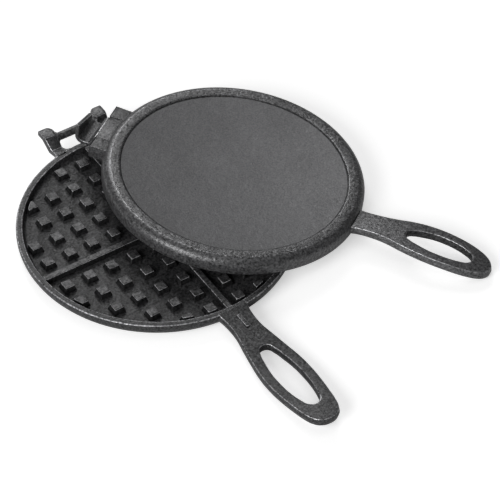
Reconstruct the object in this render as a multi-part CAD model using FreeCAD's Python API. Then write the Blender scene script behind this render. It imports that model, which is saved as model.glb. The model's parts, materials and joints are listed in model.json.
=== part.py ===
"""Stovetop waffle iron: two round cast-iron plates with handles, a hook and a bar.

Millimetres, +Z up. The origin is the centre of the lower iron's flat underside, on
the surface that it stands on. The lower handle points along -Y and the lower hinge
bar lies at +Y, along X. The upper iron lies unhooked and askew on the lower one.

Each iron is modelled in its own casting frame, with the back at z = 0 and the open
side up. The upper iron is then turned over and laid in its place.
"""

import FreeCAD, Part
import math
import os

V = FreeCAD.Vector

# Plates, alike in depth
iron_depth = 12.5
floor_thickness = 7.2
shoulder_radius = 6.0
wall_draft = 1.0
rim_edge = 0.6

# Lower plate
lower_radius = 100.0
lower_rim_width = 4.7
lower_back_recess = 0.0

# Upper plate: it closes just inside the lower rim
nest_gap = 0.4
upper_radius = lower_radius - lower_rim_width - nest_gap
upper_rim_width = 3.4
upper_back_recess = 1.2
back_ring_share = 0.863

# Waffle pattern, the same on both plates
pattern_shift = 3.0
stud_pitch = 18.0
first_stud_across = 11.6
first_stud_along = 13.2
stud_base = 9.8
stud_top = 6.9
stud_height = 4.5
stud_wall_gap = 1.2
smallest_stud = 6.0
rib_base = 6.4
rib_top = 4.2
rib_end_gap = 0.1

# Handles: both bow towards the back of their iron between their ends, and the lower
# one's tip lifts a little above its rim
lower_handle_length = 119.4
upper_handle_length = 102.0
handle_thickness = 6.5
lower_handle_half_width = 17.0
upper_handle_half_width = 16.1
lower_bow_rise = 2.6
lower_tip_lift = 2.4
upper_root_rise = 2.0
upper_bow_rise = 5.0
bow_share = 0.46

# Each handle's outline: shares of its length, and of its largest half width
handle_length_shares = (0.0, 0.05, 0.15, 0.26, 0.37, 0.48, 0.59, 0.70, 0.80, 0.88, 0.94, 0.98)
lower_width_shares = (0.66, 0.61, 0.60, 0.73, 0.86, 0.97, 1.0, 0.955, 0.865, 0.77, 0.64, 0.43)
upper_width_shares = (0.63, 0.60, 0.61, 0.70, 0.86, 0.965, 1.0, 0.97, 0.89, 0.76, 0.59, 0.36)

# The long hole: where it starts and ends, as shares of the handle's length, and its
# outline, as shares of the hole's own length and of its largest half width
lower_hole_half_width = 9.6
upper_hole_half_width = 9.2
lower_hole_shares = (0.306, 0.852)
upper_hole_shares = (0.368, 0.858)
hole_length_shares = (0.02, 0.09, 0.22, 0.37, 0.52, 0.71, 0.86, 0.95, 0.985)
hole_width_shares = (0.38, 0.60, 0.80, 0.96, 1.0, 0.93, 0.74, 0.53, 0.30)

# Seats where a handle, an arm or the hook meets its plate
seat_step = 0.5
seat_depth = 3.0

# Lower hinge: two arms with raised blunt ends, and a bar between them
arm_inner = 16.0
arm_width = 10.7
arm_root_taper = 2.2
arm_length = 20.5
arm_thickness = 3.8
arm_rise = 7.5
arm_rise_start = 2.6
arm_rise_run = 7.4
arm_knee = 3.0
arm_end_radius = 1.5
arm_inner_corner = 6.0
arm_outer_corner = 1.5
bar_reach = 9.8
bar_height = 4.5
bar_radius = 3.1

# Upper hinge: a hook that drops over the bar, between two ears. Its trough is wider than
# the bar, and the top of its lip falls from the -X side to the +X side
hook_width = 25.0
hook_clearance = 0.4
hook_slack = 3.0
hook_wall = 2.8
hook_lip_height = 10.0
hook_lip_fall = 7.8
tongue_rise = 10.2
tongue_slope = 2.4
tongue_shoulder = 2.4
tongue_lift = 0.3
ear_width = 12.0
ear_reach = 8.0
ear_rise = 11.5
ear_lift = 0.5
ear_radius = 1.3

# Rest pose of the upper iron: its handle tip is on the table, its studs on the lower rim
rest_offset_x = 66.2
rest_offset_y = 2.6
rest_yaw = 34.6
rest_tilt = 4.42
rest_lean = 4.4
rest_gap = 0.3

# Sizes that follow from the ones above
stud_recess = iron_depth - floor_thickness - stud_height
handle_underside = iron_depth - handle_thickness
arm_underside = iron_depth - arm_thickness
arm_outer = arm_inner + arm_width
arm_root_outer = arm_outer - arm_root_taper
bar_y = lower_radius + bar_reach
hook_inner = bar_radius + hook_clearance
hook_outer = hook_inner + hook_wall


def half_turn():
    """Turn a shape made in the casting frame over, so that its open side faces down."""
    return FreeCAD.Placement(V(0, 0, iron_depth), FreeCAD.Rotation(V(0, 1, 0), 180))


def rest_placement():
    """Lay the upper iron with its handle tip on the table and its studs on the lower rim."""
    turn = FreeCAD.Rotation(V(0, 0, 1), rest_yaw)
    turn = turn * FreeCAD.Rotation(V(1, 0, 0), rest_tilt)
    turn = turn * FreeCAD.Rotation(V(0, 1, 0), rest_lean)
    levels = []
    for share, width in zip(handle_length_shares, upper_width_shares):
        reach = upper_radius + upper_handle_length * share
        edge = V(upper_handle_half_width * width, -reach, 0)
        levels.append(turn.multVec(edge).z)
    return FreeCAD.Placement(V(rest_offset_x, rest_offset_y, rest_gap - min(levels)), turn)


def box(x_low, x_high, y_low, y_high, z_low, z_high):
    """A block between the given limits."""
    corner = V(x_low, y_low, z_low)
    return Part.makeBox(x_high - x_low, y_high - y_low, z_high - z_low, corner)


def turned(edges):
    """The solid that a closed outline in the XZ plane sweeps about Z."""
    face = Part.Face(Part.Wire(edges))
    return face.revolve(V(0, 0, 0), V(0, 0, 1), 360)


def lines(points):
    """Straight edges through the points, in order."""
    return [Part.LineSegment(a, b).toShape() for a, b in zip(points, points[1:])]


def arc(start, middle, end):
    """The round edge through three points."""
    return Part.Arc(start, middle, end).toShape()


def on_circle(centre, radius, angle):
    """The point of a circle in the YZ plane, its angle in degrees from +Y to +Z."""
    turn = math.radians(angle)
    return centre + V(0, radius * math.cos(turn), radius * math.sin(turn))


def plate(radius, back_recess, seats):
    """The floor of an iron, with a round shoulder and a sunk disc on its back."""
    bend = radius - shoulder_radius
    diagonal = shoulder_radius * math.sin(math.radians(45))
    if back_recess > 0:
        ring = radius * back_ring_share
        start = [V(0, 0, back_recess), V(ring, 0, back_recess), V(ring + back_recess, 0, 0)]
    else:
        start = [V(0, 0, 0)]
    edges = lines(start + [V(bend, 0, 0)])
    low = V(bend + diagonal, 0, shoulder_radius - diagonal)
    edges.append(arc(V(bend, 0, 0), low, V(radius, 0, shoulder_radius)))
    top = [V(radius, 0, shoulder_radius), V(radius, 0, floor_thickness), V(0, 0, floor_thickness)]
    edges += lines(top + [start[0]])
    return with_seats(turned(edges), seats, 0, floor_thickness)


def rim(radius, width, seats):
    """The raised wall round an iron, drafted on its inside."""
    inner_top = radius - width
    inner_floor = inner_top - wall_draft
    points = [
        V(inner_floor, 0, floor_thickness),
        V(radius, 0, floor_thickness),
        V(radius, 0, iron_depth - rim_edge),
        V(radius - rim_edge, 0, iron_depth),
        V(inner_top + rim_edge, 0, iron_depth),
        V(inner_top, 0, iron_depth - rim_edge),
        V(inner_floor, 0, floor_thickness),
    ]
    middle = [V(0, 0, iron_depth), V(0, 0, floor_thickness)]
    cavity = turned(lines([points[5], points[4]] + middle + [points[0], points[5]]))
    return with_seats(turned(lines(points)), seats, floor_thickness, iron_depth).cut(cavity)


def with_seats(body, seats, z_low, z_high):
    """Add the part of each seat block that lies between two levels."""
    for x_low, x_high, y_low, y_high, seat_low, seat_high in seats:
        low = max(z_low, seat_low)
        high = min(z_high, seat_high)
        if high > low:
            body = body.fuse(box(x_low, x_high, y_low, y_high, low, high))
    return body.removeSplitter()


def frustum(centre, base, top, z_low, z_high):
    """A four-sided stud or rib piece: base and top are its half sizes in X and Y."""
    rings = []
    for (half_x, half_y), z in ((base, z_low), (top, z_high)):
        corners = [(-half_x, -half_y), (half_x, -half_y), (half_x, half_y), (-half_x, half_y)]
        points = [V(centre.x + x, centre.y + y, z) for x, y in corners]
        rings.append(Part.makePolygon(points + points[:1]))
    return Part.makeLoft(rings, True, True)


def studs(inner_floor):
    """The square studs of all four quarters, cut round beside the rim."""
    cut_radius = inner_floor - stud_wall_gap
    keep = Part.makeCylinder(cut_radius, iron_depth)
    top = floor_thickness + stud_height
    half = stud_base / 2
    half_top = stud_top / 2
    count = int(inner_floor // stud_pitch) + 1
    solids = []
    for i in range(count):
        for j in range(count):
            across = first_stud_across + i * stud_pitch
            along = first_stud_along + j * stud_pitch
            for x in (across, -across):
                for y in (along - pattern_shift, -along - pattern_shift):
                    near = math.hypot(across - half, abs(y) - half)
                    far = math.hypot(across + half, abs(y) + half)
                    if near > cut_radius - smallest_stud:
                        continue
                    centre = V(x, y, 0)
                    stud = frustum(centre, (half, half), (half_top, half_top), floor_thickness, top)
                    solids.append(stud.common(keep) if far > cut_radius else stud)
    return Part.Compound([s for solid in solids for s in solid.Solids])


def wall_reach(inner_floor, level, offset):
    """How far a straight piece at an offset from the centre runs before the wall."""
    radius = inner_floor + wall_draft * level / (iron_depth - floor_thickness)
    return math.sqrt(radius**2 - offset**2) - rib_end_gap


def ribs(inner_floor):
    """The two crossed ribs: one whole, and the other in two halves beside it."""
    top = floor_thickness + stud_height
    low = rib_base / 2
    high = rib_top / 2
    low_reach = wall_reach(inner_floor, 0, pattern_shift + low)
    high_reach = wall_reach(inner_floor, stud_height, pattern_shift + high)
    middle = V(0, -pattern_shift, 0)
    pieces = [frustum(middle, (low_reach, low), (high_reach, high), floor_thickness, top)]
    for side in (-1, 1):
        rings = []
        for half, level, z in ((low, 0, floor_thickness), (high, stud_height, top)):
            start = side * half - pattern_shift
            end = side * wall_reach(inner_floor, level, half)
            points = [V(-half, start, z), V(half, start, z), V(half, end, z), V(-half, end, z)]
            rings.append(Part.makePolygon(points + points[:1]))
        pieces.append(Part.makeLoft(rings, True, True))
    return Part.Compound(pieces)


def smooth_ring(points, closed):
    """A smooth edge through the points, in order."""
    curve = Part.BSplineCurve()
    curve.interpolate(Points=points, PeriodicFlag=closed)
    return curve.toShape()


def handle_outline(root, span, half_width, width_shares, level):
    """The outer edges of a handle from its root to its tip, at one level."""
    side = [
        V(half_width * width, -(root + span * share), level)
        for share, width in zip(handle_length_shares, width_shares)
    ]
    tip = V(0, -(root + span), level)
    other = [V(-p.x, p.y, p.z) for p in reversed(side)]
    return [smooth_ring(side + [tip] + other, False)] + lines([other[-1], side[0]])


def hole_outline(root, length, half_width, level):
    """The edge of a handle's long hole, at one level."""
    right = [
        V(half_width * width, -(root + length * share), level)
        for share, width in zip(hole_length_shares, hole_width_shares)
    ]
    left = [V(-p.x, p.y, p.z) for p in reversed(right)]
    return smooth_ring([V(0, -root, level)] + right + [V(0, -(root + length), level)] + left, True)


def handle(radius, length, half_width, width_shares, rises, hole_half_width, hole_shares):
    """A handle along -Y that swells round a long hole.

    The rises say how far its root, its middle and its tip lie towards the iron's back.
    """
    root = radius + seat_step
    span = length - seat_step
    back = handle_underside - max(rises)
    hole_root = radius + length * hole_shares[0]
    hole_length = length * (hole_shares[1] - hole_shares[0])
    outer = Part.Face(Part.Wire(handle_outline(root, span, half_width, width_shares, back)))
    inner = Part.Face(Part.Wire([hole_outline(hole_root, hole_length, hole_half_width, back)]))
    up = V(0, 0, iron_depth - min(rises) - back)
    blank = outer.extrude(up).cut(inner.extrude(up))
    stations = [-root, -(root + span * bow_share), -(root + span)]
    low, high = [
        [V(-half_width, y, level - rise) for y, rise in zip(stations, rises)]
        for level in (handle_underside, iron_depth)
    ]
    profile = [smooth_ring(low, False), smooth_ring(high, False)]
    profile += lines([low[0], high[0]]) + lines([low[-1], high[-1]])
    slab = Part.Face(Part.Wire(Part.__sortEdges__(profile))).extrude(V(2 * half_width, 0, 0))
    return slab.common(blank)


def handle_seat(radius, rise, half_width):
    """The block of an iron that its handle meets."""
    outer = -(radius + seat_step)
    across = (-half_width, half_width, outer, outer + seat_depth)
    return across + (handle_underside - rise, iron_depth - rise)


def arm_seats():
    """The blocks of the lower iron that the hinge arms meet."""
    inner = math.sqrt(lower_radius**2 - arm_root_outer**2) - seat_step
    outer = lower_radius + seat_step
    limits = (inner, outer, arm_underside, iron_depth)
    return [(arm_inner, arm_root_outer) + limits, (-arm_root_outer, -arm_inner) + limits]


def corner_arc(start, corner, end):
    """A round edge that replaces a square corner, tangent to both of its sides."""
    centre = start + end - corner
    radius = centre.distanceToPoint(start)
    outward = (corner - centre).normalize()
    return arc(start, centre + outward * radius, end)


def hinge_arms():
    """The two arms of the lower hinge, each with a raised blunt end."""
    root = lower_radius + seat_step
    end = lower_radius + arm_length
    top = iron_depth + arm_rise
    low_end = top - arm_thickness
    x = arm_inner
    rise_start = root + arm_rise_start
    knee = rise_start + arm_knee
    side = lines([
        V(x, end, top - arm_end_radius),
        V(x, end, low_end),
        V(x, knee + arm_rise_run, low_end),
        V(x, knee, arm_underside),
        V(x, root, arm_underside),
        V(x, root, iron_depth),
        V(x, rise_start, iron_depth),
        V(x, rise_start + arm_rise_run, top),
        V(x, end - arm_end_radius, top),
    ])
    round_start = V(x, end - arm_end_radius, top)
    round_end = V(x, end, top - arm_end_radius)
    side.append(corner_arc(round_start, V(x, end, top), round_end))
    bar_of_arm = Part.Face(Part.Wire(side)).extrude(V(arm_width, 0, 0))
    inner_start = V(arm_inner, end - arm_inner_corner, 0)
    inner_end = V(arm_inner + arm_inner_corner, end, 0)
    outer_start = V(arm_outer - arm_outer_corner, end, 0)
    outer_end = V(arm_outer, end - arm_outer_corner, 0)
    plan = [
        corner_arc(inner_start, V(arm_inner, end, 0), inner_end),
        Part.LineSegment(inner_end, outer_start).toShape(),
        corner_arc(outer_start, V(arm_outer, end, 0), outer_end),
    ]
    outer_root = [V(arm_outer, knee + arm_rise_run, 0), V(arm_root_outer, root, 0)]
    plan += lines([outer_end] + outer_root + [V(arm_inner, root, 0), inner_start])
    right = bar_of_arm.common(Part.Face(Part.Wire(plan)).extrude(V(0, 0, top)))
    return Part.Compound([right, right.mirror(V(0, 0, 0), V(1, 0, 0))])


def hinge_bar():
    """The round bar between the arms, which the hook drops over."""
    start = V(-arm_inner, bar_y, iron_depth + bar_height)
    return Part.makeCylinder(bar_radius, 2 * arm_inner, start, V(1, 0, 0))


def hook_seats():
    """The blocks of the upper iron that the hook and the ears meet."""
    half = hook_width / 2
    outer = upper_radius + seat_step
    ear_edge = half + ear_width
    inner = math.sqrt(upper_radius**2 - ear_edge**2) - shoulder_radius
    tongue = (-half, half, inner, outer, iron_depth - tongue_rise, iron_depth - tongue_lift)
    ear = (inner, outer, iron_depth - ear_rise, iron_depth - ear_lift)
    return [tongue, (half, ear_edge) + ear, (-ear_edge, -half) + ear]


def hook():
    """A tongue that bends up into a hook, in the closed pose above the lower iron."""
    root = upper_radius + seat_step
    side = -hook_width / 2
    near = V(side, bar_y, bar_height)
    far = V(side, bar_y + hook_slack, bar_height)
    lip_top = bar_height + hook_lip_height
    trough = [on_circle(near, hook_inner, angle) for angle in (180, 225, 270)]
    bend = [on_circle(far, hook_inner, angle) for angle in (270, 315, 360)]
    outside = [on_circle(far, hook_outer, angle) for angle in (360, 315, 270)]
    outline = [arc(*trough), arc(*bend), arc(*outside)]
    outline += lines([trough[-1], bend[0]])
    lip = [V(side, bend[-1].y, lip_top), V(side, outside[0].y, lip_top)]
    outline += lines([bend[-1]] + lip + [outside[0]])
    outline += lines([
        outside[-1],
        V(side, lower_radius + seat_step, tongue_lift),
        V(side, root, tongue_lift),
        V(side, root, tongue_rise),
        V(side, trough[0].y - tongue_shoulder, tongue_rise - tongue_slope / 2),
        V(side, trough[0].y, bar_height + tongue_shoulder - hook_clearance),
        trough[0],
    ])
    body = Part.Face(Part.Wire(Part.__sortEdges__(outline))).extrude(V(hook_width, 0, 0))
    return body.cut(above_lip(side, bend[-1].y, outside[0].y, lip_top))


def above_lip(side, inner_face, outer_face, lip_top):
    """The wedge that gives the hook's lip its falling top."""
    start = V(side, inner_face, lip_top)
    corners = [start, start + V(hook_width, 0, 0), start + V(hook_width, 0, -hook_lip_fall)]
    wedge = Part.Face(Part.Wire(lines(corners + [start])))
    return wedge.extrude(V(0, outer_face - inner_face, 0))


def hook_ears():
    """The two ears beside the tongue, with a round outer edge."""
    root = upper_radius + seat_step
    end = upper_radius + ear_reach
    x = hook_width / 2
    outline = lines([
        V(x, end, ear_rise - ear_radius),
        V(x, end, ear_lift),
        V(x, root, ear_lift),
        V(x, root, ear_rise),
        V(x, end - ear_radius, ear_rise),
    ])
    start = V(x, end - ear_radius, ear_rise)
    outline.append(corner_arc(start, V(x, end, ear_rise), V(x, end, ear_rise - ear_radius)))
    right = Part.Face(Part.Wire(outline)).extrude(V(ear_width, 0, 0))
    return Part.Compound([right, right.mirror(V(0, 0, 0), V(1, 0, 0))])


def lower_iron():
    """The nodes of the lower iron, in place."""
    inner_floor = lower_radius - lower_rim_width - wall_draft
    root_width = lower_handle_half_width * lower_width_shares[0]
    seats = [handle_seat(lower_radius, 0, root_width)] + arm_seats()
    outline = (lower_handle_length, lower_handle_half_width, lower_width_shares)
    rises = (0, lower_bow_rise, -lower_tip_lift)
    hole = (lower_hole_half_width, lower_hole_shares)
    return {
        "lower_plate": plate(lower_radius, lower_back_recess, seats),
        "lower_rim": rim(lower_radius, lower_rim_width, seats),
        "lower_divider_ribs": ribs(inner_floor),
        "lower_studs": studs(inner_floor),
        "lower_handle": handle(lower_radius, *outline, rises, *hole),
        "lower_hinge_arms": hinge_arms(),
        "lower_hinge_bar": hinge_bar(),
    }


def upper_iron():
    """The nodes of the upper iron, open side down and closed on the lower one."""
    inner_floor = upper_radius - upper_rim_width - wall_draft
    root_width = upper_handle_half_width * upper_width_shares[0]
    seats = [handle_seat(upper_radius, upper_root_rise, root_width)] + hook_seats()
    outline = (upper_handle_length, upper_handle_half_width, upper_width_shares)
    rises = (upper_root_rise, upper_bow_rise, 0)
    hole = (upper_hole_half_width, upper_hole_shares)
    cast = {
        "upper_plate": plate(upper_radius, upper_back_recess, seats),
        "upper_rim": rim(upper_radius, upper_rim_width, seats),
        "upper_divider_ribs": ribs(inner_floor),
        "upper_studs": studs(inner_floor),
        "upper_handle": handle(upper_radius, *outline, rises, *hole),
    }
    nodes = {name: moved(shape, half_turn()) for name, shape in cast.items()}
    nodes["upper_hook"] = hook()
    nodes["upper_hook_ears"] = hook_ears()
    return nodes


def moved(shape, placement):
    """A copy of the shape, with the placement applied after its own."""
    copy = shape.copy()
    copy.Placement = placement.multiply(copy.Placement)
    return copy


def main():
    """Write one STEP file for each node."""
    os.makedirs("parts", exist_ok=True)
    nodes = lower_iron()
    rest = rest_placement()
    for name, shape in upper_iron().items():
        nodes[name] = moved(shape, rest)
    for name, shape in nodes.items():
        shape.exportStep(os.path.join("parts", name + ".step"))
        print(name, len(shape.Solids), "solids", round(shape.Volume), "mm3", shape.isValid())


main()
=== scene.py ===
"""A stovetop waffle iron in cast iron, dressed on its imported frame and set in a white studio.

The lower iron lies flat. The upper iron lies unhooked and askew on it. Lengths are in
metres, and each piece keeps its place in its mesh, with its object at the origin.

A piece is made in one of two frames. In the mould's frame the back of a casting lies at
height 0, and its open side faces up. In the closed frame both castings lie as they do
when the iron is hooked and shut.
"""

import json
import logging
import math
from collections.abc import Callable
from dataclasses import dataclass, field, replace
from enum import Enum, IntEnum
from typing import ClassVar

import bpy
from mathutils import Matrix, Vector

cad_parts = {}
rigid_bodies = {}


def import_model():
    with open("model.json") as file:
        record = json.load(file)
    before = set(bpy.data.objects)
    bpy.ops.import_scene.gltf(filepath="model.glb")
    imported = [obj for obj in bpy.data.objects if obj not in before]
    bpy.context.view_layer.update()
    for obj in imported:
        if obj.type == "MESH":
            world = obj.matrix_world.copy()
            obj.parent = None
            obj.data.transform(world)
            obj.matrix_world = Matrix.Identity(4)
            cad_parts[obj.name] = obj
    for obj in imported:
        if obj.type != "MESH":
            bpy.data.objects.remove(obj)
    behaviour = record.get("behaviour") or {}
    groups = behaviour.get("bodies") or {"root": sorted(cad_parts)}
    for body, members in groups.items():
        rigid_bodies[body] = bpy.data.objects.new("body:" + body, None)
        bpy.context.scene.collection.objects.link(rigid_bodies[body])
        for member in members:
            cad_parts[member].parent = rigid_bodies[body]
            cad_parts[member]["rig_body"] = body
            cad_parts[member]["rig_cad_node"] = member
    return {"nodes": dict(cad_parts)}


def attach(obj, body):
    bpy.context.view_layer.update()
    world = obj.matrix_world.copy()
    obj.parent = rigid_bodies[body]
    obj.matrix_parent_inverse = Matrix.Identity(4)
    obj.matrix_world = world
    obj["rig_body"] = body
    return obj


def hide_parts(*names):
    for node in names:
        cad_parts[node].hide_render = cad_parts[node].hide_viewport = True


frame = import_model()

log = logging.getLogger("waffle_iron")
MM = 0.001

# How much of a normal points along an axis where a face counts as facing that way
FACING = 0.9
LEVEL_FACING = 0.93

# A face keeps the worn slot and its painted highlight where its normal's upright part lies between
# these
WORN_HIGHLIT_FACING = (0.5, 0.97)

# A point this close to a place counts as lying there
CLOSE = 1.0 * MM

Point = tuple[float, float]
PairTest = Callable[[Vector, Vector], bool]
FaceTest = Callable[[bpy.types.MeshPolygon], bool]


class Body(Enum):
    """The two castings that move against each other."""

    LOWER = "lower_iron"
    UPPER = "upper_iron"


class Element(Enum):
    """The kinds of mesh element that can be selected."""

    VERTEX = "VERT"
    EDGE = "EDGE"
    FACE = "FACE"


class Slot(IntEnum):
    """The material slots of a piece, in their order."""

    PLAIN = 0
    # Worn edges, lighter: partly wear, partly a painted highlight
    WORN_HIGHLIT = 1
    FIRST_FLAT = 2
    SECOND_FLAT = 3


@dataclass(frozen=True)
class Placement:
    """Where a casting's own frame lies: its rim plane's centre, and its turn in degrees."""

    centre: tuple[float, float, float] = (0.0, 0.0, 0.0)
    yaw: float = 0.0
    tilt: float = 0.0
    lean: float = 0.0

    def matrix(self) -> Matrix:
        """Work out where the casting lies.

        Returns:
            The matrix from the casting's own frame to the scene.
        """
        turn = Matrix.Rotation(math.radians(self.yaw), 4, "Z")
        turn = turn @ Matrix.Rotation(math.radians(self.tilt), 4, "X")
        turn = turn @ Matrix.Rotation(math.radians(self.lean), 4, "Y")
        return Matrix.Translation(Vector(self.centre)) @ turn


@dataclass(frozen=True)
class Rounding:
    """How far a rounding reaches along each face, and how many faces go round the edge."""

    width: float
    segments: int

    def bevel(self, slot: Slot, clamp: bool) -> None:
        """Round the selected edges, in edit mode.

        Args:
            slot: The slot of the new faces.
            clamp: Whether roundings stop short of each other.
        """
        bpy.ops.mesh.bevel(
            offset=self.width, segments=self.segments, profile=0.5, affect="EDGES",
            clamp_overlap=clamp, material=slot,
        )


def activate(piece: bpy.types.Object) -> None:
    """Make the piece the only one selected, and the active one, in object mode.

    Args:
        piece: The object to work on.
    """
    if bpy.context.object and bpy.context.object.mode != "OBJECT":
        bpy.ops.object.mode_set(mode="OBJECT")
    bpy.ops.object.select_all(action="DESELECT")
    piece.select_set(True)
    bpy.context.view_layer.objects.active = piece


def edit(piece: bpy.types.Object, element: Element = Element.FACE) -> None:
    """Open the piece in edit mode with nothing selected.

    Args:
        piece: The object to edit.
        element: The kind of element to select.
    """
    activate(piece)
    bpy.ops.object.mode_set(mode="EDIT")
    bpy.ops.mesh.select_mode(type=element.value)
    bpy.ops.mesh.select_all(action="DESELECT")


def edge_ends(piece: bpy.types.Object, edge: bpy.types.MeshEdge) -> list[Vector]:
    """The points at the two ends of an edge."""
    return [piece.data.vertices[index].co for index in edge.vertices]


def pick(piece: bpy.types.Object, element: Element, test: PairTest) -> None:
    """Select the edges or the faces that pass a test, in edit mode.

    Args:
        piece: The object in edit mode.
        element: Edges or faces.
        test: Takes an edge's two ends, or a face's centre and normal.
    """
    bpy.ops.mesh.select_mode(type=element.value)
    bpy.ops.mesh.select_all(action="DESELECT")
    bpy.ops.object.mode_set(mode="OBJECT")
    if element is Element.EDGE:
        for edge in piece.data.edges:
            edge.select = bool(test(*edge_ends(piece, edge)))
    else:
        for face in piece.data.polygons:
            face.select = bool(test(face.center, face.normal))
    bpy.ops.object.mode_set(mode="EDIT")


def settle(piece: bpy.types.Object) -> None:
    """Write the object's own place into its mesh, so that the object sits at the origin.

    Args:
        piece: The object to settle.
    """
    activate(piece)
    bpy.ops.object.transform_apply(location=True, rotation=True, scale=True)


def smooth(piece: bpy.types.Object, angle: float = 40.0) -> None:
    """Shade smooth, but keep edges sharper than an angle in degrees.

    Args:
        piece: The object to shade.
        angle: The largest angle that is smoothed.
    """
    activate(piece)
    bpy.ops.object.shade_smooth_by_angle(angle=math.radians(angle))


def node_copy(node: str, name: str, placement: Matrix) -> bpy.types.Object:
    """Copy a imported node, merged into whole flat faces and put back into the given frame.

    Args:
        node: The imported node's name.
        name: The new piece's name.
        placement: The matrix from that frame to the scene.

    Returns:
        The copy, as a closed mesh with an empty first slot.
    """
    activate(frame["nodes"][node])
    bpy.ops.object.duplicate()
    piece = bpy.context.object
    piece.name = name
    piece.parent = None
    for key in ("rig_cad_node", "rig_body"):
        if key in piece:
            del piece[key]
    piece.data.materials.clear()
    mark(piece, Slot.PLAIN, lambda face: True)
    piece.data.transform(placement.inverted())
    edit(piece, Element.VERTEX)
    bpy.ops.mesh.select_all(action="SELECT")
    bpy.ops.mesh.remove_doubles(threshold=0.005 * MM)
    bpy.ops.mesh.dissolve_limited(angle_limit=math.radians(0.6))
    bpy.ops.object.mode_set(mode="OBJECT")
    return piece


def add_slots(piece: bpy.types.Object) -> None:
    """Give the piece its first two slots: the plain finish and the worn edge, lighter as a painted
    highlight.
    """
    while len(piece.data.materials) <= Slot.WORN_HIGHLIT:
        piece.data.materials.append(None)


def mark(piece: bpy.types.Object, slot: Slot, test: FaceTest) -> None:
    """Give a slot to the faces that pass a test, in object mode.

    Args:
        piece: The object whose faces are marked.
        slot: The slot that they get.
        test: Takes a face, and says whether it gets the slot.
    """
    for face in piece.data.polygons:
        if test(face):
            face.material_index = slot


def keep_sloping(piece: bpy.types.Object) -> None:
    """Take the worn slot, with its painted highlight, back from the faces that are nearly level or
    upright.

    Args:
        piece: The object, in object mode.
    """
    least, most = WORN_HIGHLIT_FACING
    for face in piece.data.polygons:
        if face.material_index == Slot.WORN_HIGHLIT and not least < abs(face.normal.z) < most:
            face.material_index = Slot.PLAIN


def bevel_sharp(
    piece: bpy.types.Object, rounding: Rounding, angle: float, test: PairTest | None = None
) -> None:
    """Round the sharp edges of a piece; the sloping new faces get the worn slot and its painted
    highlight.

    Args:
        piece: The object to bevel.
        rounding: The form of the rounded edges.
        angle: Edges sharper than this, in degrees, are rounded.
        test: Takes an edge's two ends, and says whether the edge may be rounded.
    """
    add_slots(piece)
    edit(piece, Element.EDGE)
    bpy.ops.mesh.edges_select_sharp(sharpness=math.radians(angle))
    if test is not None:
        bpy.ops.object.mode_set(mode="OBJECT")
        for edge in piece.data.edges:
            if edge.select:
                edge.select = bool(test(*edge_ends(piece, edge)))
        bpy.ops.object.mode_set(mode="EDIT")
    rounding.bevel(Slot.WORN_HIGHLIT, clamp=True)
    bpy.ops.object.mode_set(mode="OBJECT")
    keep_sloping(piece)


def flat_curve(
    name: str, outlines: list[list[Point]], thickness: float, edge: float
) -> bpy.types.Object:
    """Make a flat plate with rounded edges between closed outlines, from a curve.

    Args:
        name: The piece's name.
        outlines: The outer outline, from one sharp corner to another, then its holes.
        thickness: The plate's thickness, centred on its plane.
        edge: The radius of its rounded edges.

    Returns:
        The plate, as a closed mesh.
    """
    bpy.ops.curve.primitive_bezier_circle_add()
    shape = bpy.context.object
    shape.name = name
    curve = shape.data
    curve.splines.clear()
    curve.dimensions = "2D"
    curve.fill_mode = "BOTH"
    curve.resolution_u = 8
    curve.extrude = thickness / 2 - edge
    curve.bevel_depth = edge
    curve.bevel_resolution = 3
    curve.offset = -edge
    for index, outline in enumerate(outlines):
        spline = curve.splines.new("BEZIER")
        spline.bezier_points.add(len(outline) - 1)
        spline.use_cyclic_u = True
        for place, ((x, y), knot) in enumerate(zip(outline, spline.bezier_points)):
            knot.co = (x, y, 0)
            sharp = index == 0 and place in (0, len(outline) - 1)
            kind = "VECTOR" if sharp else "AUTO"
            knot.handle_left_type = kind
            knot.handle_right_type = kind
    activate(shape)
    bpy.ops.object.convert(target="MESH")
    piece = bpy.context.object
    edit(piece, Element.VERTEX)
    bpy.ops.mesh.select_all(action="SELECT")
    bpy.ops.mesh.remove_doubles(threshold=0.01 * MM)
    bpy.ops.mesh.normals_make_consistent(inside=False)
    bpy.ops.object.mode_set(mode="OBJECT")
    return piece


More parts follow.
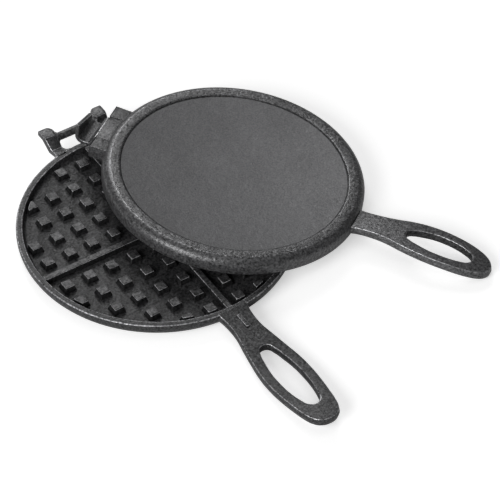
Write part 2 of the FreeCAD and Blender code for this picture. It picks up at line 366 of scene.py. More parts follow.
class NodeTools:
    """Short ways to build a shader: add a node, join sockets, and set values."""

    spacing: ClassVar[int] = 180

    def __init__(self, tree: bpy.types.NodeTree) -> None:
        """Keep the tree to build in."""
        self.tree = tree
        self.column = 0

    def add(self, kind: str, **inputs: object) -> bpy.types.Node:
        """Add a node and set or join its inputs.

        Args:
            kind: The node's type name, after ShaderNode.
            **inputs: Socket names, with underscores for spaces, to a value or a socket.

        Returns:
            The new node.
        """
        node = self.tree.nodes.new("ShaderNode" + kind)
        self.column += 1
        node.location = (self.column * self.spacing, 0)
        for key, value in inputs.items():
            self.feed(node, key.replace("_", " "), value)
        return node

    def feed(self, node: bpy.types.Node, socket: str | int, value: object) -> None:
        """Set an input socket to a value, or join an output socket to it.

        Args:
            node: The node that takes the value.
            socket: The input's name or number.
            value: A plain value, or another node's output.
        """
        target = node.inputs[socket]
        if isinstance(value, bpy.types.NodeSocket):
            self.tree.links.new(value, target)
        else:
            target.default_value = value

    def math(self, operation: str, *values: object, clamp: bool = False) -> bpy.types.NodeSocket:
        """Add a Math node.

        Args:
            operation: What the node works out.
            *values: Its inputs, as numbers or sockets.
            clamp: Whether the result stays between 0 and 1.

        Returns:
            The node's output.
        """
        node = self.add("Math")
        node.operation = operation
        node.use_clamp = clamp
        for index, value in enumerate(values):
            self.feed(node, index, value)
        return node.outputs[0]

    def ramp(self, factor: bpy.types.NodeSocket, low: float, high: float) -> bpy.types.NodeSocket:
        """Stretch a factor from 0 at low to 1 at high, with soft ends.

        Args:
            factor: The output to stretch.
            low: Where the result is 0.
            high: Where the result is 1.

        Returns:
            The stretched factor.
        """
        node = self.add("MapRange", Value=factor, From_Min=low, From_Max=high)
        node.interpolation_type = "SMOOTHSTEP"
        return node.outputs["Result"]


def new_group(name: str, inputs: dict[str, float], outputs: tuple[str, ...]) -> bpy.types.NodeTree:
    """Make an empty shader group with named sockets.

    Args:
        name: The group's name.
        inputs: Each float input's name and default value. Vector comes before them.
        outputs: The names of the float outputs.

    Returns:
        The group's node tree, with its input and output nodes.
    """
    group = bpy.data.node_groups.new(name, "ShaderNodeTree")
    group.interface.new_socket("Vector", in_out="INPUT", socket_type="NodeSocketVector")
    for label, value in inputs.items():
        socket = group.interface.new_socket(label, in_out="INPUT", socket_type="NodeSocketFloat")
        socket.default_value = value
    for label in outputs:
        group.interface.new_socket(label, in_out="OUTPUT", socket_type="NodeSocketFloat")
    group.nodes.new("NodeGroupInput")
    group.nodes.new("NodeGroupOutput")
    return group


def sand_grain_group() -> bpy.types.NodeTree:
    """Build the skin of a sand casting: fine grains, soft waves and a few small pits.

    Returns:
        A group that puts out a height, a mask of the pits and a speckle factor round 1.
    """
    grains_in_metre = 640.0
    waves_in_metre = 28.0
    coarse_share = 0.22
    cell_share = 0.30
    hole_ramp = (0.26, 0.04)
    sparse_ramp = (0.60, 0.72)
    weights = (0.55, 0.9, 2.5, -1.4)
    noise_middle = 0.5
    group = new_group(
        "sand_grain",
        {"Grain Size": 1.0, "Waves": 0.5, "Pits": 0.4, "Specks": 3.0},
        ("Height", "Pit Mask", "Speck"),
    )
    tools = NodeTools(group)
    source = group.nodes["Group Input"].outputs
    place = source["Vector"]
    scale = tools.math("DIVIDE", grains_in_metre, source["Grain Size"])
    coarse_scale = tools.math("MULTIPLY", scale, coarse_share)
    cell_scale = tools.math("MULTIPLY", scale, cell_share)
    fine = tools.add("TexNoise", Vector=place, Scale=scale, Detail=5.0, Roughness=0.62)
    coarse = tools.add("TexNoise", Vector=place, Scale=coarse_scale, Detail=3.0, Roughness=0.5)
    wave = tools.add("TexNoise", Vector=place, Scale=waves_in_metre, Detail=2.0, Roughness=0.45)
    cells = tools.add("TexVoronoi", Vector=place, Scale=cell_scale, Randomness=1.0)
    holes = tools.ramp(cells.outputs["Distance"], *hole_ramp)
    sparse = tools.ramp(coarse.outputs[0], *sparse_ramp)
    pits = tools.math("MULTIPLY", tools.math("MULTIPLY", holes, sparse), source["Pits"])
    waves = tools.math("MULTIPLY", wave.outputs[0], source["Waves"])
    height = 0.0
    for layer, weight in zip((fine.outputs[0], coarse.outputs[0], waves, pits), weights):
        height = tools.math("MULTIPLY_ADD", layer, weight, height)
    spread = tools.math("SUBTRACT", fine.outputs[0], noise_middle)
    speck = tools.math("MULTIPLY_ADD", spread, source["Specks"], 1.0)
    for label, value in (("Height", height), ("Pit Mask", pits), ("Speck", speck)):
        tools.feed(group.nodes["Group Output"], label, value)
    return group


def seasoning_group() -> bpy.types.NodeTree:
    """Build the baked oil on the iron: clouds of tone and gloss, finely mottled.

    Returns:
        A group that puts out a tone factor and a roughness factor, both round 1.
    """
    clouds_in_metre = 34.0
    mottle_factor = 19.0
    cloud_weight = 0.75
    mottle_weight = 0.45
    middle = 0.6
    strengths = {"Tone": 3.0, "Gloss": -2.0}
    group = new_group("seasoning", {"Cloud Size": 1.0, "Contrast": 0.2}, tuple(strengths))
    tools = NodeTools(group)
    source = group.nodes["Group Input"].outputs
    place = source["Vector"]
    scale = tools.math("DIVIDE", clouds_in_metre, source["Cloud Size"])
    cloud = tools.add(
        "TexNoise", Vector=place, Scale=scale, Detail=6.0, Roughness=0.6, Distortion=0.35
    )
    mottle_scale = tools.math("MULTIPLY", scale, mottle_factor)
    mottle = tools.add("TexNoise", Vector=place, Scale=mottle_scale, Detail=2.0)
    clouds = tools.math("MULTIPLY", cloud.outputs[0], cloud_weight)
    mixed = tools.math("MULTIPLY_ADD", mottle.outputs[0], mottle_weight, clouds)
    centred = tools.math("SUBTRACT", mixed, middle)
    swing = tools.math("MULTIPLY", centred, source["Contrast"])
    for label, strength in strengths.items():
        value = tools.math("MULTIPLY_ADD", swing, strength, 1.0)
        tools.feed(group.nodes["Group Output"], label, value)
    return group


@dataclass(frozen=True)
class IronFinish:
    """One kind of iron surface.

    Args:
        name: The material's name.
        grey: How light the iron is.
        worn_highlit_grey: How light its worn edges are, as wear and as a painted highlight.
        specular: The strength of its plain reflection.
        roughness: How dull it is.
        metallic: How metallic it is.
        grain: The size of its grains, round 1.
        grain_depth: How deep the grains are.
        waves: How wavy it is.
        pits: How deep its pits are.
        contrast: How cloudy the seasoning is.
        specks: How much the grains differ in tone.
    """

    name: str
    grey: float
    worn_highlit_grey: float
    specular: float
    roughness: float = 0.36
    metallic: float = 0.40
    grain: float = 1.0
    grain_depth: float = 0.60 * MM
    waves: float = 0.30
    pits: float = 0.6
    contrast: float = 0.30
    specks: float = 6.0

    blue_share: ClassVar[float] = 1.03
    pit_shade: ClassVar[float] = -0.35
    pit_roughness: ClassVar[float] = 0.2
    # How the worn edges differ; their lighter grey is partly wear, partly a painted highlight
    worn_highlit_roughness_share: ClassVar[float] = 0.85
    worn_highlit_metallic: ClassVar[float] = 0.6
    worn_highlit_contrast: ClassVar[float] = 0.5

    def worn_highlit(self) -> "IronFinish":
        """Work out the finish of an edge that hands and oil have polished, lighter also as a painted
        highlight.

        Returns:
            The same iron, lighter and more metallic.
        """
        return replace(
            self, name=self.name + "_edge", grey=self.worn_highlit_grey, metallic=self.worn_highlit_metallic,
            roughness=self.roughness * self.worn_highlit_roughness_share, contrast=self.worn_highlit_contrast,
        )

    def material(self) -> bpy.types.Material:
        """Build the finish as a material.

        Returns:
            The material, made once and found again by its name.
        """
        made = bpy.data.materials.get(self.name)
        if made is not None:
            return made
        made = bpy.data.materials.new(self.name)
        made.use_nodes = True
        tools = NodeTools(made.node_tree)
        place = tools.add("TexCoord").outputs["Object"]
        skin = tools.add("Group")
        skin.node_tree = bpy.data.node_groups.get("sand_grain") or sand_grain_group()
        oil = tools.add("Group")
        oil.node_tree = bpy.data.node_groups.get("seasoning") or seasoning_group()
        for node, key, value in (
            (skin, "Vector", place), (skin, "Grain Size", self.grain), (skin, "Waves", self.waves),
            (skin, "Pits", self.pits), (skin, "Specks", self.specks),
            (oil, "Vector", place), (oil, "Cloud Size", 1.0), (oil, "Contrast", self.contrast),
        ):
            tools.feed(node, key, value)
        pits = skin.outputs["Pit Mask"]
        shade = tools.math("MULTIPLY_ADD", pits, self.pit_shade, oil.outputs["Tone"])
        shade = tools.math("MULTIPLY", shade, skin.outputs["Speck"])
        colour = tools.add("VectorMath")
        colour.operation = "SCALE"
        tools.feed(colour, 0, (self.grey, self.grey, self.grey * self.blue_share))
        tools.feed(colour, "Scale", shade)
        rough = tools.math("MULTIPLY", oil.outputs["Gloss"], self.roughness, clamp=True)
        rough = tools.math("MULTIPLY_ADD", pits, self.pit_roughness, rough, clamp=True)
        height = skin.outputs["Height"]
        bump = tools.add("Bump", Strength=1.0, Distance=self.grain_depth, Height=height)
        shader = made.node_tree.nodes["Principled BSDF"]
        for key, value in (
            ("Base Color", colour.outputs[0]), ("Roughness", rough), ("Metallic", self.metallic),
            ("Normal", bump.outputs[0]), ("Specular IOR Level", self.specular),
        ):
            tools.feed(shader, key, value)
        return made


# Each edge grey lightens the worn edges: partly wear, partly a painted highlight
SHELL = IronFinish("iron_shell", grey=0.080, worn_highlit_grey=0.14, specular=0.8, roughness=0.32, specks=5.5)
# A lighter copy of the iron for the flat sunk disc: painted light from the room above
LIT_BACK_DISC = IronFinish(
    "iron_back_painted_light", grey=0.124, worn_highlit_grey=0.20, specular=0.5, roughness=0.44, metallic=0.30,
    grain=0.8, grain_depth=0.26 * MM, pits=0.5, contrast=0.14, specks=1.6,
)
# The waffle side's dark iron; on the handle's hole walls and the sunk disc's wall it is painted shade
WAFFLE_SIDE_AND_SHADE = IronFinish(
    "iron_waffle_side_and_painted_shade", grey=0.036, worn_highlit_grey=0.42, specular=0.3, metallic=0.20,
    grain=1.1, grain_depth=0.70 * MM, waves=0.4, contrast=0.35,
)
# Studs and ribs: dark sides as painted shade and lighter tops as painted light, on one iron
SHADED_STUD_SIDE = replace(WAFFLE_SIDE_AND_SHADE, name="iron_stud_side_painted_shade", grey=0.018, worn_highlit_grey=0.50, specular=0.2)
LIT_STUD_TOP = IronFinish(
    "iron_stud_top_painted_light", grey=0.058, worn_highlit_grey=0.40, specular=0.5, metallic=0.30, contrast=0.35
)
HINGE = IronFinish("iron_hinge", grey=0.070, worn_highlit_grey=0.40, specular=0.7, roughness=0.34, specks=5.0)
# A darker copy of the iron for the lower casting, as painted shade, and a lighter one for the lid's
# handle, as painted light
GRIP = IronFinish("iron_handle", grey=0.043, worn_highlit_grey=0.34, specular=0.4, metallic=0.30)
LIT_LID_GRIP = IronFinish(
    "iron_lid_handle_painted_light", grey=0.105, worn_highlit_grey=0.25, specular=0.6, roughness=0.34, specks=5.0
)


@dataclass(frozen=True)
class Grip:
    """One handle: its length, its outline, its bow and its long hole.

    Args:
        length: From the plate's edge to the tip.
        half_width: The largest half width.
        width_shares: The half width at each length share, as a share of the largest.
        rises: How far the root, the middle and the tip lie towards the iron's back.
        hole_half_width: The hole's largest half width.
        hole_shares: Where the hole starts and ends, as shares of the length.
        thickness: From the back to the open side.
        bow_share: Where the middle lies, as a share of the length.
    """

    length: float
    half_width: float
    width_shares: tuple[float, ...]
    rises: tuple[float, float, float]
    hole_half_width: float
    hole_shares: tuple[float, float]
    thickness: float = 6.5 * MM
    bow_share: float = 0.46

    # The outline's length shares count from this far outside the plate's edge
    root_gap: ClassVar[float] = 0.5 * MM

    # Inside the plate's edge the root is this much wider, at this depth
    root_flares: ClassVar[tuple[Point, ...]] = ((0.9 * MM, 2.6 * MM), (0.3 * MM, 0.4 * MM))

    length_shares: ClassVar[tuple[float, ...]] = (
        0.0, 0.05, 0.15, 0.26, 0.37, 0.48, 0.59, 0.70, 0.80, 0.88, 0.94, 0.98
    )
    hole_length_shares: ClassVar[tuple[float, ...]] = (
        0.02, 0.09, 0.22, 0.37, 0.52, 0.71, 0.86, 0.95, 0.985
    )
    hole_width_shares: ClassVar[tuple[float, ...]] = (
        0.38, 0.60, 0.80, 0.96, 1.0, 0.93, 0.74, 0.53, 0.30
    )

    def outer(self, radius: float) -> list[Point]:
        """Work out the outline from inside the rim, round the tip and back.

        Args:
            radius: The plate's outer radius.

        Returns:
            Points in X and Y, the first and the last of them on the root's flat end.
        """
        span = self.length - self.root_gap
        root = radius + self.root_gap
        first = self.half_width * self.width_shares[0]
        side = [(first + wider, depth - radius) for wider, depth in self.root_flares]
        for share, width in zip(self.length_shares[1:], self.width_shares[1:]):
            side.append((self.half_width * width, -(root + span * share)))
        tip = (0.0, -(radius + self.length))
        return side + [tip] + [(-x, y) for x, y in reversed(side)]

    def hole_ends(self, radius: float) -> Point:
        """How far the near and the far end of the hole lie from the plate's centre."""
        return tuple(radius + self.length * share for share in self.hole_shares)

    def hole(self, radius: float) -> list[Point]:
        """Work out the outline of the long hole.

        Args:
            radius: The plate's outer radius.

        Returns:
            Points in X and Y.
        """
        start, end = self.hole_ends(radius)
        right = [
            (self.hole_half_width * width, -(start + (end - start) * share))
            for share, width in zip(self.hole_length_shares, self.hole_width_shares)
        ]
        return [(0.0, -start)] + right + [(0.0, -end)] + [(-x, y) for x, y in reversed(right)]

    def rise(self, share: float) -> float:
        """Work out the smooth bow, which passes through the three rises.

        Args:
            share: A share of the length.

        Returns:
            How far the handle lies towards the iron's back there.
        """
        root, middle, tip = self.rises
        bend = self.bow_share
        first = root * (share - bend) * (share - 1) / bend
        second = middle * share * (share - 1) / (bend * (bend - 1))
        return first + second + tip * share * (share - bend) / (1 - bend)


@dataclass
class Casting:
    """What both irons share: the round plate, the pattern and a handle.

    Args:
        body: The body that the pieces ride on.
        placement: Where the casting's closed frame lies.
        radius: Outer radius of the plate.
        rim_width: Width of the rim's flat top.
        grip: The handle's form.
        depth: From the back to the rim's top.
        floor: From the back to the floor between the studs.
        draft: How far the rim's inner wall leans in.
        shoulder: The radius of the back's outer edge.
        pieces: The pieces made so far.
    """

    body: Body
    placement: Placement
    radius: float
    rim_width: float
    grip: Grip
    depth: float = 12.5 * MM
    floor: float = 7.2 * MM
    draft: float = 1.0 * MM
    shoulder: float = 6.0 * MM
    pieces: list[bpy.types.Object] = field(default_factory=list)

    ring_sides: ClassVar[int] = 288

    @property
    def prefix(self) -> str:
        """The first word of this casting's piece names."""
        return self.body.value.split("_")[0]

    @property
    def upside_down(self) -> bool:
        """Whether the open side faces down."""
        return self.body is Body.UPPER

    def cast_to_closed(self) -> Matrix:
        """Work out how the casting lies when the iron is shut.

        Returns:
            The matrix from the mould's frame to the closed frame.
        """
        if not self.upside_down:
            return Matrix.Identity(4)
        return Matrix.Translation((0, 0, self.depth)) @ Matrix.Rotation(math.pi, 4, "Y")

    def keep(
        self, piece: bpy.types.Object, finish: IronFinish, *nodes: str,
        cast: bool = True, flats: tuple[IronFinish, ...] = (),
    ) -> None:
        """Put a finished piece in its place, dress it and let it ride.

        Args:
            piece: The finished mesh, in the mould's or the closed frame.
            finish: Its surface.
            *nodes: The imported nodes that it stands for.
            cast: Whether the mesh is in the mould's frame.
            flats: The finishes of the faces in the third slot and after it.
        """
        settle(piece)
        if cast:
            piece.data.transform(self.cast_to_closed())
        piece.data.transform(self.placement.matrix())
        piece.data.update()
        add_slots(piece)
        piece.data.materials[Slot.PLAIN] = finish.material()
        piece.data.materials[Slot.WORN_HIGHLIT] = finish.worn_highlit().material()
        for flat in flats:
            piece.data.materials.append(flat.material())
        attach(piece, self.body.value)
        if nodes:
            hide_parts(*nodes)
        self.pieces.append(piece)
        log.info("%s: %d faces", piece.name, len(piece.data.polygons))

    def from_mould(self, node: str, name: str) -> bpy.types.Object:
        """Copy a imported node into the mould's frame."""
        return node_copy(node, name, self.placement.matrix() @ self.cast_to_closed())

    def dish(self) -> bpy.types.Object:
        """Make the plate and rim as one dish, from a cylinder.

        Returns:
            The dish, in the mould's frame, with its waffle floor in the first flat slot.
        """
        bpy.ops.mesh.primitive_cylinder_add(
            vertices=self.ring_sides, radius=self.radius, depth=self.depth,
            location=(0, 0, self.depth / 2),
        )
        piece = bpy.context.object
        piece.name = self.prefix + "_dish"
        settle(piece)
        edit(piece)
        pick(piece, Element.FACE, lambda centre, normal: normal.z > FACING)
        bpy.ops.mesh.inset(thickness=self.rim_width, depth=0)
        sink = (0, 0, self.floor - self.depth)
        bpy.ops.mesh.extrude_region_move(TRANSFORM_OT_translate={"value": sink})
        inner = self.radius - self.rim_width
        share = (inner - self.draft) / inner
        bpy.ops.transform.resize(value=(share, share, 1))
        self.round_loop(piece, inner - self.draft, self.floor, Rounding(1.7 * MM, 4))
        self.round_loop(piece, inner, self.depth, Rounding(0.7 * MM, 3))
        self.round_loop(piece, self.radius, self.depth, Rounding(0.9 * MM, 3))
        self.round_loop(piece, self.radius, 0.0, Rounding(self.shoulder, 9))
        top = self.floor + 1.2 * MM
        slope = 0.5
        mark(piece, Slot.FIRST_FLAT, lambda face: face.normal.z > slope and face.center.z < top)
        return piece

    def round_loop(
        self, piece: bpy.types.Object, radius: float, level: float, rounding: Rounding
    ) -> None:
        """Round one level circle of edges, with the worn slot and its painted highlight on a narrow
        rounding.

        Args:
            piece: The dish.
            radius: The circle's radius.
            level: Its height.
            rounding: The form of the rounded edge.
        """
        near = 0.15 * MM
        widest_worn_highlit = 1.0 * MM

        def on_loop(start: Vector, end: Vector) -> bool:
            """Whether an edge lies on the circle."""
            return all(
                abs(point.z - level) < near and abs(math.hypot(point.x, point.y) - radius) < near
                for point in (start, end)
            )

        add_slots(piece)
        edit(piece)
        pick(piece, Element.EDGE, on_loop)
        slot = Slot.WORN_HIGHLIT if rounding.width < widest_worn_highlit else Slot.PLAIN
        rounding.bevel(slot, clamp=False)
        bpy.ops.object.mode_set(mode="OBJECT")
        keep_sloping(piece)

    def waffle_side(self) -> None:
        """Round the studs' upright and top edges, and the ribs' top edges."""
        self.pattern("_studs", "_stud_grid", Rounding(0.5 * MM, 2), max)
        self.pattern("_divider_ribs", "_crossed_ribs", Rounding(0.45 * MM, 2), min)

    def pattern(
        self, node: str, name: str, rounding: Rounding, reach: Callable[[float, float], float]
    ) -> None:
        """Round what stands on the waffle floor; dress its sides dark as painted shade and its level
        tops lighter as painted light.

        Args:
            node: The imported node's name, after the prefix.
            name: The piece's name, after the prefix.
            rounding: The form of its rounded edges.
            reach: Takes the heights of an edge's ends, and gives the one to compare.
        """
        piece = self.from_mould(self.prefix + node, self.prefix + name)
        foot = self.floor + 0.1 * MM
        bevel_sharp(piece, rounding, 25.0, lambda start, end: reach(start.z, end.z) > foot)
        mark(
            piece, Slot.FIRST_FLAT,
            lambda face: face.normal.z > LEVEL_FACING and face.center.z > foot,
        )
        smooth(piece, angle=20.0)
        self.keep(piece, SHADED_STUD_SIDE, self.prefix + node, flats=(LIT_STUD_TOP,))

    def handle(self) -> None:
        """Bend a flat curve into the handle, with its hole, ridge and bow."""
        edge = 0.9 * MM
        ridge = 0.55 * MM
        outlines = [self.grip.outer(self.radius), self.grip.hole(self.radius)]
        piece = flat_curve(self.prefix + "_grip", outlines, self.grip.thickness, edge)
        middle = self.depth - self.grip.thickness / 2
        piece.data.transform(Matrix.Translation((0, 0, middle)))
        edit(piece)
        bpy.ops.mesh.select_all(action="SELECT")
        bpy.ops.mesh.bisect(plane_co=(0, 0, middle), plane_no=(0, 0, 1))
        bpy.ops.transform.shrink_fatten(value=ridge)
        self.bow(piece)
        # Its sloping faces take the worn slot: wear and a painted highlight on its edges and ridge
        add_slots(piece)
        mark(piece, Slot.WORN_HIGHLIT, lambda face: True)
        keep_sloping(piece)
        # The hole's upright walls take the dark waffle-side finish: painted shade inside the hole
        start, end = self.grip.hole_ends(self.radius)
        side = self.grip.hole_half_width + 0.4 * MM
        upright = 0.4
        mark(
            piece, Slot.FIRST_FLAT,
            lambda face: abs(face.center.x) < side and start < -face.center.y < end
            and abs(face.normal.z) < upright,
        )
        smooth(piece, angle=22.0)
        # The lid's handle takes the lighter copy as painted light; the lower handle the darker one as
        # painted shade
        finish = LIT_LID_GRIP if self.upside_down else GRIP
        self.keep(piece, finish, self.prefix + "_handle", flats=(WAFFLE_SIDE_AND_SHADE,))

    def bow(self, piece: bpy.types.Object) -> None:
        """Cut the handle across at close steps and bow it towards the iron's back.

        Args:
            piece: The flat handle, in edit mode. It is left in object mode.
        """
        inside = 3.0 * MM
        step = 3.5 * MM
        for index in range(int((self.grip.length + inside) / step)):
            cut_y = -(self.radius - inside + index * step)
            bpy.ops.mesh.select_all(action="SELECT")
            bpy.ops.mesh.bisect(plane_co=(0, cut_y, 0), plane_no=(0, 1, 0))
        bpy.ops.object.mode_set(mode="OBJECT")
        for vertex in piece.data.vertices:
            vertex.co.z -= self.grip.rise((-vertex.co.y - self.radius) / self.grip.length)

    def run_in(self, piece: bpy.types.Object, depth: float) -> None:
        """Lengthen a piece from its flat root into the rim.

        Args:
            piece: The arms, the hook or the ears.
            depth: How far it runs in.
        """
        root = self.radius + 0.6 * MM
        edit(piece)
        pick(piece, Element.FACE, lambda centre, normal: normal.y < -FACING and centre.y < root)
        bpy.ops.mesh.extrude_region_move(TRANSFORM_OT_translate={"value": (0, -depth, 0)})
        bpy.ops.object.mode_set(mode="OBJECT")


@dataclass
class LowerIron(Casting):
    """The casting that stands on the burner, with the arms and bar of the hinge.

    Args:
        arm_inner: From the middle to an arm's inner side.
        arm_root_outer: From the middle to the outer side of an arm's root.
        bar_y: From the plate's centre to the bar.
        bar_z: The bar's height.
        bar_radius: The bar's radius.
    """

    arm_inner: float = 16.0 * MM
    arm_root_outer: float = 24.5 * MM
    bar_y: float = 109.8 * MM
    bar_z: float = 17.0 * MM
    bar_radius: float = 3.1 * MM
    shoulder: float = 10.0 * MM

    # The steps of a flare: how far it goes towards the arm, and how much it widens
    flare_steps: ClassVar[tuple[Point, ...]] = (
        (0.7 * MM, 1.04), (0.6 * MM, 1.12), (0.5 * MM, 1.18), (1.5 * MM, 1.0)
    )

    def build(self) -> None:
        """Make every piece of the lower iron."""
        piece = self.dish()
        smooth(piece)
        # The lower dish takes the darker copy of the iron: painted shade
        self.keep(piece, GRIP, "lower_plate", "lower_rim", flats=(WAFFLE_SIDE_AND_SHADE,))
        self.waffle_side()
        self.handle()
        self.arms()
        self.fillets()
        self.casting_mark()
        self.bar()

    def arms(self) -> None:
        """Round the two hinge arms and let their roots run into the rim."""
        piece = self.from_mould("lower_hinge_arms", "lower_bar_arms")
        self.run_in(piece, 5.0 * MM)
        bevel_sharp(piece, Rounding(0.55 * MM, 2), angle=28.0)
        smooth(piece)
        self.keep(piece, HINGE, "lower_hinge_arms")

    def casting_mark(self) -> None:
        """Raise the small plain bar on the root of the handle."""
        length = 13.0 * MM
        width = 3.4 * MM
        height = 0.7 * MM
        sunk = 1.2 * MM
        from_rim = 11.0 * MM
        aside = 0.8 * MM
        level = self.depth - self.grip.rise(from_rim / self.grip.length)
        place = (aside, -(self.radius + from_rim), level + (height - sunk) / 2)
        bpy.ops.mesh.primitive_cube_add(size=1, location=place)
        piece = bpy.context.object
        piece.name = "lower_raised_bar_mark"
        piece.scale = (width, length, height + sunk)
        settle(piece)
        bevel_sharp(piece, Rounding(0.5 * MM, 2), angle=60.0)
        smooth(piece)
        self.keep(piece, GRIP)

    def fillets(self) -> None:
        """Fill the corners between the arms and the rim, on both sides of each arm."""
        low = self.depth - 3.6 * MM
        high = self.depth - 0.15 * MM
        corners = ((self.arm_inner, -1, 4.0 * MM), (self.arm_root_outer, 1, 3.0 * MM))
        points = []
        faces = []
        for side in (-1, 1):
            for edge, way, size in corners:
                outline = self.fillet(side, edge, way, size)
                base = len(points)
                count = len(outline)
                points += [(x, y, level) for level in (low, high) for x, y in outline]
                faces.append(tuple(range(base, base + count)))
                faces.append(tuple(range(base + count, base + 2 * count)))
                for near in range(base, base + count):
                    far = base + (near + 1 - base) % count
                    faces.append((near, far, count + far, count + near))
        bpy.ops.mesh.primitive_plane_add()
        piece = bpy.context.object
        piece.name = "lower_arm_fillets"
        piece.data.clear_geometry()
        piece.data.from_pydata(points, [], faces)
        edit(piece)
        bpy.ops.mesh.select_all(action="SELECT")
        bpy.ops.mesh.normals_make_consistent(inside=False)
        bpy.ops.object.mode_set(mode="OBJECT")
        smooth(piece)
        self.keep(piece, SHELL)

    def fillet(self, side: int, edge: float, way: int, size: float) -> list[Point]:
        """Work out one concave fillet's outline, tangent to an arm's side and to the rim.

        Args:
            side: -1 for the arm at -X, 1 for the arm at +X.
            edge: The arm side's distance from the middle.
            way: -1 for the side towards the middle, 1 for the outer side.
            size: The fillet's radius.

        Returns:
            Points in X and Y.
        """
        steps = 8
        inside_rim = 2.5 * MM
        inside_arm = 1.5 * MM
        centre_x = edge + way * size
        centre_y = math.sqrt((self.radius + size) ** 2 - centre_x ** 2)
        toward_arm = 0.0
        toward_rim = math.atan2(-centre_y, -centre_x)
        if way > 0:
            toward_arm = math.pi
            toward_rim += 2 * math.pi
        arc = []
        for index in range(steps + 1):
            angle = toward_arm + (toward_rim - toward_arm) * index / steps
            arc.append((centre_x + size * math.cos(angle), centre_y + size * math.sin(angle)))
        rim_x, rim_y = arc[-1]
        share = 1 - inside_rim / self.radius
        arm_x = edge - way * inside_arm
        corner_y = math.sqrt((self.radius - inside_rim) ** 2 - edge ** 2)
        outline = arc + [(rim_x * share, rim_y * share), (arm_x, corner_y), (arm_x, arc[0][1])]
        return [(side * x, y) for x, y in outline]

    def bar(self) -> None:
        """Draw the round bar, flared where it meets the arms."""
        half = self.arm_inner - 1.6 * MM
        middle = (0, self.bar_y, self.bar_z)
        bpy.ops.mesh.primitive_cylinder_add(
            vertices=40, radius=self.bar_radius, depth=2 * half,
            location=middle, rotation=(0, math.pi / 2, 0),
        )
        piece = bpy.context.object
        piece.name = "lower_round_bar"
        settle(piece)
        for side in (-1, 1):
            edit(piece)
            pick(piece, Element.FACE, lambda centre, normal: normal.x * side > FACING)
            for length, growth in self.flare_steps:
                step = (side * length, 0, 0)
                bpy.ops.mesh.extrude_region_move(TRANSFORM_OT_translate={"value": step})
                bpy.ops.transform.resize(value=(1, growth, growth), center_override=middle)
            bpy.ops.object.mode_set(mode="OBJECT")
        smooth(piece, angle=50.0)
        self.keep(piece, SHELL, "lower_hinge_bar")


@dataclass
class UpperIron(Casting):
    """The lid casting, with the sunk disc on its back, the hook and its ears.

    Args:
        ring_share: The sunk disc's radius, as a share of the plate's.
        recess: How deep the disc is sunk, and how far its wall leans.
    """

    ring_share: float = 0.863
    recess: float = 1.2 * MM

    def build(self) -> None:
        """Make every piece of the upper iron."""
        piece = self.dish()
        self.sink_back(piece)
        smooth(piece)
        self.keep(piece, SHELL, "upper_plate", "upper_rim", flats=(WAFFLE_SIDE_AND_SHADE, LIT_BACK_DISC))
        self.waffle_side()
        self.handle()
        self.hook()
        self.ears()

    def sink_back(self, piece: bpy.types.Object) -> None:
        """Sink the disc into the back, and mark it as painted light, its wall as painted shade and
        the shoulder's crest as a painted highlight.

        Args:
            piece: The dish, in the mould's frame.
        """
        bend = self.radius - self.shoulder
        ring = self.radius * self.ring_share + self.recess
        shaded_wall_inner = ring - self.recess - 0.5 * MM
        shaded_wall_low = 0.45 * MM
        shaded_wall_high = self.floor - 3.0 * MM
        highlit_crest_inner = bend - 0.3 * MM
        highlit_crest_outer = bend + 1.3 * MM
        edit(piece)
        pick(
            piece, Element.FACE,
            lambda centre, normal: normal.z < -FACING and centre.length < CLOSE,
        )
        bpy.ops.mesh.inset(thickness=bend - ring, depth=0)
        bpy.ops.mesh.inset(thickness=self.recess, depth=-self.recess)
        bpy.ops.object.mode_set(mode="OBJECT")
        self.round_loop(piece, ring, 0.0, Rounding(0.7 * MM, 3))
        self.round_loop(piece, ring - self.recess, self.recess, Rounding(0.25 * MM, 2))
        for face in piece.data.polygons:
            height = face.center.z
            distance = face.center.xy.length
            reaches = [piece.data.vertices[index].co.xy.length for index in face.vertices]
            # The sunk disc takes the lighter back finish: painted light
            if face.normal.z < -FACING and distance < CLOSE:
                face.material_index = Slot.SECOND_FLAT
            # The disc's wall takes the dark waffle-side finish: painted shade along the sunk edge
            if shaded_wall_inner < distance < ring and shaded_wall_low < height < shaded_wall_high:
                face.material_index = Slot.FIRST_FLAT
            # A thin strip at the shoulder's bend takes the worn slot as a painted highlight line
            if height < CLOSE and highlit_crest_inner < min(reaches) and max(reaches) < highlit_crest_outer:
                face.material_index = Slot.WORN_HIGHLIT

    def hook(self) -> None:
        """Round the tongue and hook, and let the tongue run into the plate."""
        self.hinge_piece("upper_hook", "upper_bar_hook", Rounding(0.5 * MM, 3))

    def ears(self) -> None:
        """Round the two ears beside the tongue, and lower their backs below its back."""
        self.hinge_piece("upper_hook_ears", "upper_ears", Rounding(0.6 * MM, 3), 0.9 * MM)

    def hinge_piece(self, node: str, name: str, rounding: Rounding, lowered: float = 0.0) -> None:
        """Run a piece's root into the plate, round its edges and dress it.

        Args:
            node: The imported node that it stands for.
            name: The piece's name.
            rounding: The form of its rounded edges.
            lowered: How far its back is lowered.
        """
        back_facing = 0.8
        piece = node_copy(node, name, self.placement.matrix())
        if lowered:
            edit(piece)
            pick(piece, Element.FACE, lambda centre, normal: normal.z > back_facing)
            bpy.ops.transform.translate(value=(0, 0, -lowered))
            bpy.ops.object.mode_set(mode="OBJECT")
        self.run_in(piece, 7.0 * MM)
        bevel_sharp(piece, rounding, angle=28.0)
        smooth(piece)
        self.keep(piece, HINGE, node, cast=False)


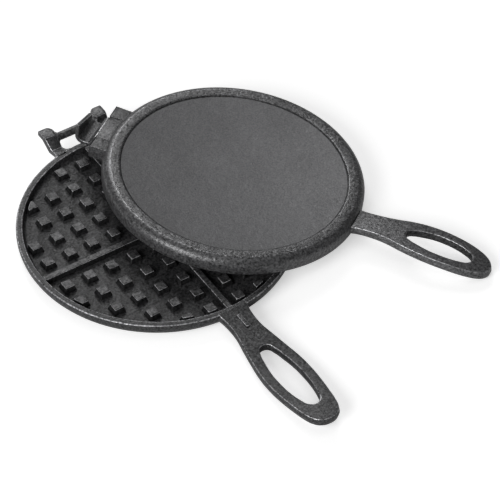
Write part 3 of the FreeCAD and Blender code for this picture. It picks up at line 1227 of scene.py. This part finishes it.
@dataclass(frozen=True)
class SoftLamp:
    """A square soft lamp that faces the iron: its place, side in metres and power in watts."""

    name: str
    place: tuple[float, float, float]
    size: float
    power: float

    aim: ClassVar[tuple[float, float, float]] = (0.04, -0.02, 0.0)

    def hang(self) -> None:
        """Add the lamp to the scene."""
        bpy.ops.object.light_add(type="AREA", location=self.place)
        lamp = bpy.context.object
        lamp.name = self.name
        lamp.data.size = self.size
        lamp.data.energy = self.power
        toward = Vector(self.aim) - Vector(self.place)
        lamp.rotation_euler = toward.to_track_quat("-Z", "Y").to_euler()


@dataclass(frozen=True)
class Studio:
    """The white table, the soft lamps and the camera of the photograph.

    The camera stands at a distance from its target, and its angles are in degrees. Towards
    the camera the table glows a little, and the room is at 1. The iron gets less of it.
    """

    azimuth: float = -34.74
    elevation: float = 45.616
    distance: float = 2.27594
    target: tuple[float, float, float] = (0.048585, -0.047312, 0.0)
    roll: float = 1.75
    lens: float = 230.4
    table_glow: float = 0.52
    room_light: float = 0.11
    lamps: tuple[SoftLamp, ...] = (
        SoftLamp("left_softbox", (-1.55, -0.58, 0.92), size=1.1, power=28.0),
        SoftLamp("back_softbox", (0.7, 1.7, 1.5), size=1.2, power=18.0),
        SoftLamp("top_fill", (0.1, -0.2, 2.4), size=1.6, power=5.0),
    )

    paper_white: ClassVar[tuple[float, ...]] = (0.86, 0.86, 0.86, 1.0)
    full_white: ClassVar[tuple[float, ...]] = (1.0, 1.0, 1.0, 1.0)
    sensor_width: ClassVar[float] = 36.0
    far_limit: ClassVar[float] = 30.0

    def build(self) -> None:
        """Set up the table, room, lamps and camera."""
        self.table()
        self.room()
        for lamp in self.lamps:
            lamp.hang()
        self.camera()

    def table(self) -> None:
        """Lay the white table that the iron stands on."""
        size = 8.0
        gap = 0.3 * MM
        bpy.ops.mesh.primitive_plane_add(size=size, location=(0, 0, -gap))
        table = bpy.context.object
        table.name = "white_table"
        paper = bpy.data.materials.new("white_paper")
        paper.use_nodes = True
        nodes = paper.node_tree.nodes
        nodes.remove(nodes["Principled BSDF"])
        tools = NodeTools(paper.node_tree)
        seen = tools.add("LightPath").outputs["Is Camera Ray"]
        matt = tools.add("BsdfDiffuse", Color=self.paper_white)
        strength = tools.math("MULTIPLY", seen, self.table_glow)
        glow = tools.add("Emission", Color=self.full_white, Strength=strength)
        both = tools.add("AddShader")
        tools.feed(both, 0, matt.outputs[0])
        tools.feed(both, 1, glow.outputs[0])
        tools.feed(nodes["Material Output"], "Surface", both.outputs[0])
        table.data.materials.append(paper)

    def room(self) -> None:
        """Put a plain white room round the table, dimmer for the light that it gives."""
        world = bpy.data.worlds.new("white_room")
        bpy.context.scene.world = world
        world.use_nodes = True
        tools = NodeTools(world.node_tree)
        back = world.node_tree.nodes["Background"]
        seen = tools.add("LightPath").outputs["Is Camera Ray"]
        strength = tools.math("MULTIPLY_ADD", seen, 1 - self.room_light, self.room_light)
        tools.feed(back, "Color", self.full_white)
        tools.feed(back, "Strength", strength)

    def camera(self) -> None:
        """Place the camera at the photograph's view."""
        azimuth = math.radians(self.azimuth)
        elevation = math.radians(self.elevation)
        roll = math.radians(self.roll)
        level = math.cos(elevation)
        back = Vector((math.sin(azimuth) * level, -math.cos(azimuth) * level, math.sin(elevation)))
        right = Vector((math.cos(azimuth), math.sin(azimuth), 0))
        up = back.cross(right)
        turned_right = right * math.cos(roll) + up * math.sin(roll)
        turned_up = up * math.cos(roll) - right * math.sin(roll)
        turn = Matrix((turned_right, turned_up, back)).transposed()
        place = Matrix.Translation(Vector(self.target) + back * self.distance)
        bpy.ops.object.camera_add()
        camera = bpy.context.object
        camera.name = "photograph_view"
        camera.matrix_world = place @ turn.to_4x4()
        camera.data.sensor_width = self.sensor_width
        camera.data.lens = self.lens
        camera.data.clip_end = self.far_limit
        bpy.context.scene.camera = camera


LOWER_GRIP = Grip(
    length=119.4 * MM,
    half_width=17.0 * MM,
    width_shares=(0.66, 0.61, 0.60, 0.73, 0.86, 0.97, 1.0, 0.955, 0.865, 0.77, 0.64, 0.43),
    rises=(0.0, 2.6 * MM, -2.4 * MM),
    hole_half_width=9.6 * MM,
    hole_shares=(0.306, 0.852),
)
UPPER_GRIP = Grip(
    length=102.0 * MM,
    half_width=16.1 * MM,
    width_shares=(0.63, 0.60, 0.61, 0.70, 0.86, 0.965, 1.0, 0.97, 0.89, 0.76, 0.59, 0.36),
    rises=(2.0 * MM, 5.0 * MM, 0.0),
    hole_half_width=9.2 * MM,
    hole_shares=(0.368, 0.858),
)
REST = Placement((66.2 * MM, 2.6 * MM, 15.760628 * MM), yaw=34.6, tilt=4.42, lean=4.4)


def main() -> None:
    """Build both irons and the studio."""
    logging.basicConfig(level=logging.INFO, format="%(name)s %(message)s")
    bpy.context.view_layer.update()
    lower = LowerIron(Body.LOWER, Placement(), 100.0 * MM, rim_width=4.7 * MM, grip=LOWER_GRIP)
    upper = UpperIron(Body.UPPER, REST, 94.9 * MM, rim_width=3.4 * MM, grip=UPPER_GRIP)
    for iron in (lower, upper):
        iron.build()
        log.info("%s has %d pieces", iron.body.value, len(iron.pieces))
    Studio().build()
    bpy.context.scene.view_settings.view_transform = "Standard"


if __name__ == "__main__":
    main()
